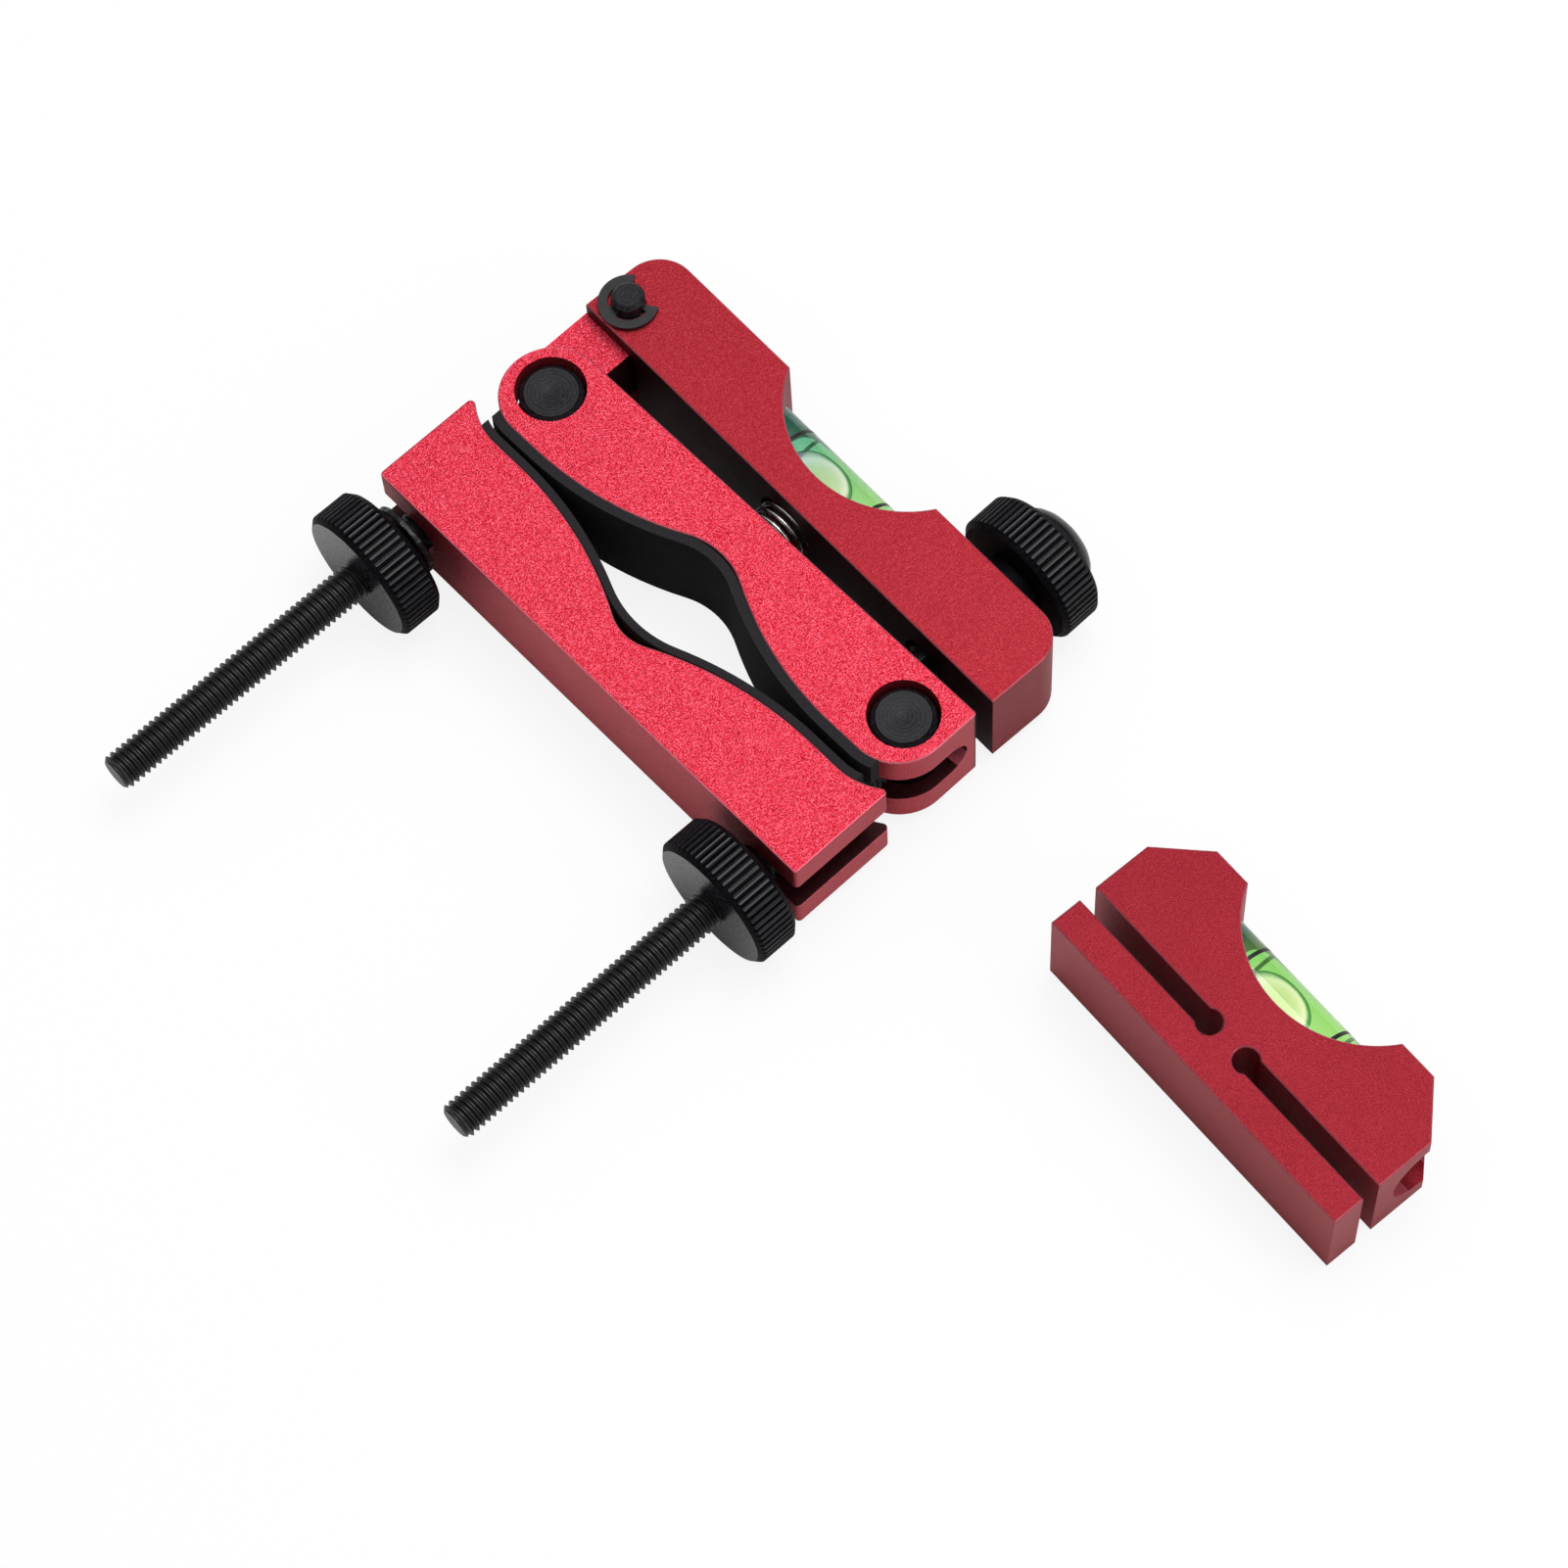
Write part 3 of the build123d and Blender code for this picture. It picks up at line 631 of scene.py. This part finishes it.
# Painted highlights for the broken edges, paler reds than the tops
JAW_EDGE_HIGHLIGHT = painted_edge_highlight("jaw_edge_painted_highlight", (0.98, 0.20, 0.27))
ARM_EDGE_HIGHLIGHT = painted_edge_highlight("arm_edge_painted_highlight", (0.62, 0.11, 0.15))
PAD_RUBBER = rubber("pad_rubber_black")
BLACK_OXIDE = blackened("black_oxide_turned", (0.005, 0.005, 0.006), rough_low=0.30, rough_high=0.45,
                        grain=OXIDE_GRAIN, depth=0.008 * MM, gloss=0.4)
BLACK_KNOB = blackened("black_knob_face", (0.006, 0.006, 0.008), rough_low=0.22, rough_high=0.32,
                       grain=KNOB_GRAIN, depth=0.004 * MM, gloss=0.6)
KNURL_RIDGE = blackened("black_knurl_ridge", (0.005, 0.005, 0.007), rough_low=0.20, rough_high=0.32,
                        grain=KNOB_GRAIN, depth=0.006 * MM, gloss=0.26)
KNURL_VALLEY = blackened("black_knurl_valley", (0.002, 0.002, 0.003), rough_low=0.45, rough_high=0.60,
                         grain=KNOB_GRAIN, depth=0.006 * MM, gloss=0.06)
NICKEL = nickel("nickel_wire")
VIAL_OUTSIDE = clear_vial("vial_clear", index=1.46)
VIAL_BORE_FACE = clear_vial("vial_clear_bore", index=1.08)
VIAL_CLEARING = clear_vial("vial_clear_hollow", index=1.001)
# Spirit colours along each vial: the dye, with painted shade towards the left end.
ARM_DYE_AND_SHADE = [(0.10, (0.09, 0.38, 0.30)), (0.75, (0.34, 0.62, 0.21)), (0.42, (0.22, 0.51, 0.22))]
REFERENCE_DYE_AND_SHADE = [(0.08, (0.12, 0.40, 0.27)), (0.70, (0.36, 0.68, 0.19)), (0.18, (0.27, 0.60, 0.16))]
RING_BLACK = printed_black("ring_black")
PLUG_SATIN = satin_plug("plug_satin")


# Pieces

def screwed_thread(name, radius, turns):
    """A thread about Z, screwed from the profile of one pitch and closed at both ends."""
    root = radius - THREAD_DEPTH
    profile = [(root, -0.5), (root, -THREAD_FOOT), (radius, -THREAD_CREST),
               (radius, THREAD_CREST), (root, THREAD_FOOT), (root, 0.5)]
    deselect_all()
    bpy.ops.mesh.primitive_plane_add(size=THREAD_PITCH)
    thread = bpy.context.object
    thread.name = name
    thread.data.clear_geometry()
    thread.data.from_pydata([(reach, 0, share * THREAD_PITCH) for reach, share in profile],
                            [(index, index + 1) for index in range(len(profile) - 1)], [])
    apply_modifier(thread, "SCREW", axis="Z", angle=2 * pi, screw_offset=THREAD_PITCH, iterations=turns,
                   steps=THREAD_STEPS, render_steps=THREAD_STEPS, use_merge_vertices=True,
                   merge_threshold=WELD)
    finish_mesh(thread)
    bpy.ops.object.mode_set(mode="EDIT")
    bpy.ops.mesh.select_all(action="SELECT")
    bpy.ops.mesh.fill_holes(sides=0)
    bpy.ops.object.mode_set(mode="OBJECT")
    finish_mesh(thread)
    return thread


def threaded_rod(node, body):
    """A rod with a full-length thread, cut to a chamfered bar."""
    radius, length = round_size(node, ROD_TURN)
    rod = screwed_thread(node + "_threaded", radius, int(length / THREAD_PITCH) + SPARE_TURNS)
    rod.data.transform(Matrix.Translation((0, 0, -THREAD_START)))
    cut_with(rod, chamfered_bar("rod_blank", radius * BLANK_OVERSIZE, length, ROD_CHAMFER), "INTERSECT")
    smooth(rod, angle=28)
    rod_way = turned_along_y(ROD_TURN)
    stand_on(rod, middle_of(node) - rod_way * length / 2, rod_way)
    return dress(rod, body, BLACK_OXIDE, node)


def column_of(point, columns):
    return round(atan2(point.co.y, point.co.x) / (2 * pi) * columns)


def knurled_knob(node, body, turn, way):
    """A knob with a straight knurl of sharp ridges, a turned chamfer at each end and flat faces."""
    radius, length = round_size(node, turn)
    columns = KNURL_COLUMNS * KNURL_RIDGES
    knob = round_bar(node + "_knurled", radius, length, columns)
    for places, depth in ((KNURL_VALLEY_COLUMNS, KNURL_DEPTH), (KNURL_TOP_COLUMNS, KNURL_DISH)):
        share = (radius - depth) / radius
        choose_points(knob, lambda point: column_of(point, columns) % KNURL_COLUMNS in places)
        bpy.ops.transform.resize(value=(share, share, 1), center_override=(0, 0, 0))
        bpy.ops.object.mode_set(mode="OBJECT")
    blank = chamfered_bar("knob_blank", radius * BLANK_OVERSIZE, length, KNOB_CHAMFER, KNOB_BLANK_SIDES)
    cut_with(knob, blank, "INTERSECT")
    smooth(knob, angle=12)
    dress(knob, body, BLACK_KNOB, node)
    knob.data.materials.append(KNURL_RIDGE)
    knob.data.materials.append(KNURL_VALLEY)
    points = knob.data.vertices
    valley_edge = radius - 1.2 * KNURL_DISH
    for face in knob.data.polygons:
        lowest = min(hypot(points[index].co.x, points[index].co.y) for index in face.vertices)
        if face.normal.z < ALONG:
            face.material_index = 1 if lowest > valley_edge else 2
    front_way = turned_along_y(turn) * way
    return stand_on(knob, middle_of(node) - front_way * length / 2, front_way)


def turned_dowel(node, body):
    """A dowel with chamfered ends and a shallow centre left by the lathe in each."""
    low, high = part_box(node)
    radius = (high[0] - low[0]) / 2
    length = high[2] - low[2]
    dowel = chamfered_bar(node + "_turned", radius, length, DOWEL_CHAMFER)
    choose_faces(dowel, is_cap)
    bpy.ops.mesh.inset(thickness=LATHE_CENTRE_INSET * radius, use_individual=True)
    bpy.ops.mesh.inset(thickness=LATHE_CENTRE_STEP * radius, depth=-LATHE_CENTRE_DEPTH, use_individual=True)
    bpy.ops.object.mode_set(mode="OBJECT")
    smooth(dowel, angle=24)
    middle = middle_of(node)
    stand_on(dowel, (middle.x, middle.y, low[2]), (0, 0, 1))
    return dress(dowel, body, turned_black(node + "_black", middle), node)


def coil_spring():
    """The arm's spring, screwed from one round section."""
    radius, length = round_size("arm_spring", JAW_TURN)
    coil = radius - SPRING_WIRE / 2
    rise = (length - SPRING_WIRE) / SPRING_TURNS
    deselect_all()
    bpy.ops.mesh.primitive_circle_add(vertices=WIRE_SIDES, radius=SPRING_WIRE / 2, location=(coil, 0, 0),
                                      rotation=(QUARTER, 0, 0))
    spring = bpy.context.object
    spring.name = "arm_spring_coil"
    bake_place(spring)
    apply_modifier(spring, "SCREW", axis="Z", angle=2 * pi, screw_offset=rise, iterations=SPRING_TURNS,
                   steps=SPRING_STEPS, render_steps=SPRING_STEPS, use_merge_vertices=False)
    make_active(spring)
    bpy.ops.object.mode_set(mode="EDIT")
    bpy.ops.mesh.select_all(action="DESELECT")
    bpy.ops.mesh.select_mode(type="EDGE")
    bpy.ops.mesh.select_non_manifold()
    bpy.ops.mesh.edge_face_add()
    bpy.ops.object.mode_set(mode="OBJECT")
    finish_mesh(spring)
    smooth(spring, angle=50)
    half_coil = turned_along_y(JAW_TURN) * (length - SPRING_WIRE) / 2
    jaw_end = middle_of("arm_spring") - half_coil
    stand_on(spring, jaw_end, half_coil)
    spring.data.materials.append(NICKEL)
    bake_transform(spring)
    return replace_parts(spring, "arm_spring")


def lay_in_vial(piece, place, turn):
    """Lays a piece that was made along Z, with its top towards -X, into a vial along X."""
    piece.matrix_world = (Matrix.Translation(place) @ Matrix.Rotation(turn, 4, "Z")
                          @ Matrix.Rotation(QUARTER, 4, "Y"))
    bake_place(piece)
    return piece


def centred_bar(name, radius, length, along=0):
    bar = round_bar(name, radius, length, VIAL_SIDES)
    bar.data.transform(Matrix.Translation((0, 0, along - length / 2)))
    return bar


def bubble_shape(name, bore, gap):
    """A bubble that lies against the top of the bore, which is towards -X while the vial stands on end."""
    half_length, half_width, half_height = (half - gap for half in BUBBLE_HALF)
    deselect_all()
    bpy.ops.mesh.primitive_uv_sphere_add(segments=64, ring_count=32, radius=1,
                                         scale=(half_height, half_width, half_length),
                                         location=(BUBBLE_HALF[2] - BUBBLE_RISE, 0, BUBBLE_ALONG))
    bubble = bpy.context.object
    bubble.name = name
    bake_place(bubble)
    cut_with(bubble, centred_bar("wall", bore - gap, 4 * half_length), "INTERSECT")
    return bubble


def line_inside(piece, material, reach):
    """Gives a second material to the faces that lie closer to the vial's axis than the reach."""
    piece.data.materials.append(material)
    for face in piece.data.polygons:
        if not is_cap(face) and hypot(face.center.x, face.center.y) < reach:
            face.material_index = 1


def vial_tube(prefix, body, place, turn, radius, length):
    """The clear tube, bored from end to end, with a material of its own in the bore."""
    tube = centred_bar(prefix + "_clear_tube", radius, length)
    choose_faces(tube, is_cap)
    bpy.ops.mesh.inset(thickness=radius - VIAL_BORE)
    bpy.ops.mesh.bridge_edge_loops()
    bpy.ops.object.mode_set(mode="OBJECT")
    smooth(tube, angle=40)
    dress(tube, body, VIAL_OUTSIDE, prefix + "_tube")
    line_inside(tube, VIAL_BORE_FACE, (VIAL_BORE + radius) / 2)
    lay_in_vial(tube, place, turn)


def vial_filling(prefix, body, place, turn, length, dye_and_shade_stops):
    """The spirit and, in a hollow a little larger than itself, the air bubble."""
    bore = VIAL_BORE * SPIRIT_FIT
    bubble = bubble_shape(prefix + "_air", bore, 2 * BUBBLE_GAP)
    spirit = centred_bar(prefix + "_spirit", bore, length)
    cut_with(spirit, bubble_shape("hollow", bore, BUBBLE_GAP), "DIFFERENCE")
    smooth(spirit, angle=40)
    smooth(bubble, angle=40)
    dress(spirit, body, vial_spirit(prefix + "_green", place, turn, dye_and_shade_stops), prefix + "_fluid")
    line_inside(spirit, VIAL_CLEARING, bore - BUBBLE_GAP / 2)
    lay_in_vial(spirit, place, turn)
    bubble_middle = place + Matrix.Rotation(turn, 3, "Z") @ Vector((BUBBLE_ALONG, 0, 0))
    dress(lay_in_vial(bubble, place, turn), body, air_bubble(prefix + "_air", bubble_middle, turn),
          prefix + "_bubble")


def vial_lines(prefix, body, place, turn, radius):
    """The two black lines around the tube, joined into one piece."""
    rings = []
    for side in (-1, 1):
        along = side * RING_SPACING / 2
        ring = centred_bar(prefix + "_line", radius * RING_STAND_OUT, RING_WIDTH, along)
        cut_with(ring, centred_bar("core", radius - RING_DEPTH, 4 * RING_WIDTH, along), "DIFFERENCE")
        rings.append(ring)
    deselect_all()
    for ring in rings:
        ring.select_set(True)
    bpy.context.view_layer.objects.active = rings[0]
    bpy.ops.object.join()
    lines = bpy.context.object
    lines.name = prefix + "_lines"
    smooth(lines, angle=40)
    dress(lay_in_vial(lines, place, turn), body, RING_BLACK, prefix + "_rings")


def vial(prefix, body, turn, dye_and_shade_stops):
    """A whole vial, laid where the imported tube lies."""
    place = middle_of(prefix + "_tube")
    low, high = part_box(prefix + "_tube")
    radius = (high[2] - low[2]) / 2
    length = (high[0] - low[0] - 2 * radius * abs(sin(turn))) / cos(turn)
    vial_tube(prefix, body, place, turn, radius, length)
    vial_filling(prefix, body, place, turn, length - 2 * VIAL_PLUG, dye_and_shade_stops)
    vial_lines(prefix, body, place, turn, radius)
    smooth_copy(prefix + "_end_plugs", body, PLUG_SATIN)


def domed_button():
    """The adjuster's domed cap, with a turned shoulder."""
    low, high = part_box("adjuster_knob_button")
    radius = (high[2] - low[2]) / 2
    height = (high[1] - low[1] - radius * sin(JAW_TURN)) / cos(JAW_TURN)
    cap = round_bar("adjuster_dome", radius, DOME_SHOULDER * height)
    last_share = 1
    for share, rise in DOME_RINGS:
        choose_faces(cap, lambda face: face.normal.z > ALONG and len(face.vertices) == ROUND_SIDES)
        bpy.ops.mesh.extrude_region_move(TRANSFORM_OT_translate={"value": (0, 0, rise * height)})
        shrink = share / last_share
        bpy.ops.transform.resize(value=(shrink, shrink, 1), center_override=(0, 0, 0))
        bpy.ops.object.mode_set(mode="OBJECT")
        last_share = share
    smooth(cap, angle=40)
    middle = middle_of("adjuster_knob_button")
    stand_on(cap, (middle.x, low[1] + radius * sin(JAW_TURN), middle.z), turned_along_y(JAW_TURN))
    return dress(cap, "adjuster", KNURL_RIDGE, "adjuster_knob_button")


machined_bar("outer_jaw", "sliding_jaw", JAW_RED, JAW_EDGE_HIGHLIGHT)
machined_bar("inner_jaw", "clamp_base", JAW_RED, JAW_EDGE_HIGHLIGHT, faces_arm)
machined_bar("level_arm", "arm", ARM_RED, ARM_EDGE_HIGHLIGHT, faces_jaw)
machined_bar("reference_level_body", "reference_level", LEVEL_RED, ARM_EDGE_HIGHLIGHT)
smooth_copy("outer_jaw_pad", "sliding_jaw", PAD_RUBBER)
smooth_copy("inner_jaw_pad", "clamp_base", PAD_RUBBER)
smooth_copy("arm_pivot_pin", "clamp_base", turned_black("pivot_pin_black", middle_of("arm_pivot_pin")))
smooth_copy("arm_pivot_clip", "clamp_base", BLACK_OXIDE)
smooth_copy("adjuster_washer", "adjuster_thrust_washer", KNURL_VALLEY)
smooth_copy("adjuster_screw", "adjuster", BLACK_OXIDE)
for side in ("left", "right"):
    smooth_copy(side + "_clamp_washer", side + "_washer", BLACK_OXIDE)
    turned_dowel(side + "_cross_dowel", side + "_rod")
    threaded_rod(side + "_swing_rod", side + "_rod")
    knurled_knob(side + "_clamp_knob", side + "_knob", ROD_TURN, -1)
knurled_knob("adjuster_knob", "adjuster", JAW_TURN, 1)
domed_button()
coil_spring()
vial("arm_vial", "arm", ARM_TURN, ARM_DYE_AND_SHADE)
vial("reference_vial", "reference_level", REFERENCE_TURN, REFERENCE_DYE_AND_SHADE)


# Floor, light and camera

def studio_floor():
    deselect_all()
    bpy.ops.mesh.primitive_plane_add(size=6, location=(0, 0, cad_box[0][2]))
    floor = bpy.context.object
    floor.name = "studio_floor"
    bake_place(floor)
    material, tree, shader = new_material("pale_floor")
    path = add_node(tree, "ShaderNodeLightPath")
    seen = add_node(tree, "ShaderNodeMath", operation="MAXIMUM")
    tree.links.new(path.outputs["Is Camera Ray"], seen.inputs[0])
    tree.links.new(path.outputs["Is Transmission Ray"], seen.inputs[1])
    tree.links.new(ramp(tree, seen.outputs[0], [(0.0, (0.80, 0.80, 0.80)), (1.0, (0.95, 0.95, 0.95))]),
                   shader.inputs["Base Color"])
    shader.inputs["Roughness"].default_value = 0.9
    shader.inputs["Specular IOR Level"].default_value = 0.0
    glow = add_node(tree, "ShaderNodeEmission")
    share = add_node(tree, "ShaderNodeMath", operation="MULTIPLY")
    share.inputs[1].default_value = FLOOR_GLOW
    tree.links.new(seen.outputs[0], share.inputs[0])
    mix = add_node(tree, "ShaderNodeMixShader")
    tree.links.new(share.outputs[0], mix.inputs[0])
    tree.links.new(shader.outputs[0], mix.inputs[1])
    tree.links.new(glow.outputs[0], mix.inputs[2])
    output = tree.nodes["Material Output"]
    tree.links.new(mix.outputs[0], output.inputs["Surface"])
    floor.data.materials.append(material)


def studio_world(horizon, zenith):
    """A tent of light, bright overhead and dim near the floor. The camera sees it white."""
    world = bpy.data.worlds.new("studio")
    bpy.context.scene.world = world
    world.use_nodes = True
    tree = world.node_tree
    background = tree.nodes["Background"]
    background.inputs["Color"].default_value = (1, 1, 1, 1)
    direction = add_node(tree, "ShaderNodeTexCoord")
    parts = add_node(tree, "ShaderNodeSeparateXYZ")
    tree.links.new(direction.outputs["Generated"], parts.inputs["Vector"])
    height = add_node(tree, "ShaderNodeMapRange", interpolation_type="SMOOTHSTEP")
    height.inputs["From Min"].default_value = 0.15
    height.inputs["From Max"].default_value = 0.85
    height.inputs["To Min"].default_value = horizon
    height.inputs["To Max"].default_value = zenith
    tree.links.new(parts.outputs["Z"], height.inputs["Value"])
    path = add_node(tree, "ShaderNodeLightPath")
    level = add_node(tree, "ShaderNodeMix", data_type="FLOAT")
    tree.links.new(path.outputs["Is Camera Ray"], level.inputs[0])
    tree.links.new(height.outputs["Result"], level.inputs[2])
    level.inputs[3].default_value = 1.0
    tree.links.new(level.outputs[0], background.inputs["Strength"])


def soft_lamp(name, place, aim, size, power):
    light = bpy.data.lights.new(name, "AREA")
    light.shape = "RECTANGLE"
    light.size, light.size_y = size
    light.energy = power
    lamp = bpy.data.objects.new(name, light)
    bpy.context.scene.collection.objects.link(lamp)
    lamp.location = place
    lamp.rotation_euler = (Vector(aim) - Vector(place)).to_track_quat("-Z", "Y").to_euler()


def photo_camera():
    """The camera that the photograph was taken with, solved from its edges."""
    target = Vector((20.277, -4.395, 0)) * MM
    distance = 502.31 * MM
    heading, tilt, roll = radians(51.0006), radians(90 - 65.2567), radians(-4.6097)
    data = bpy.data.cameras.new("photo_camera")
    data.sensor_width = 36
    data.lens = 118.99
    camera = bpy.data.objects.new("photo_camera", data)
    bpy.context.scene.collection.objects.link(camera)
    turn = Matrix.Rotation(heading, 4, "Z") @ Matrix.Rotation(tilt, 4, "X") @ Matrix.Rotation(roll, 4, "Z")
    away = turn @ Vector((0, 0, 1))
    camera.matrix_world = Matrix.Translation(target + away * distance) @ turn
    bpy.context.scene.camera = camera


studio_floor()
studio_world(horizon=0.06, zenith=0.74)
soft_lamp("overhead_softbox", place=(0.02, 0.20, 0.75), aim=(0.02, 0, 0), size=(0.5, 0.4), power=3.2)
soft_lamp("side_softbox", place=(0.65, 0.25, 0.40), aim=(0.02, 0, 0), size=(0.35, 0.5), power=0.9)
photo_camera()
bpy.context.scene.view_settings.view_transform = "Standard"
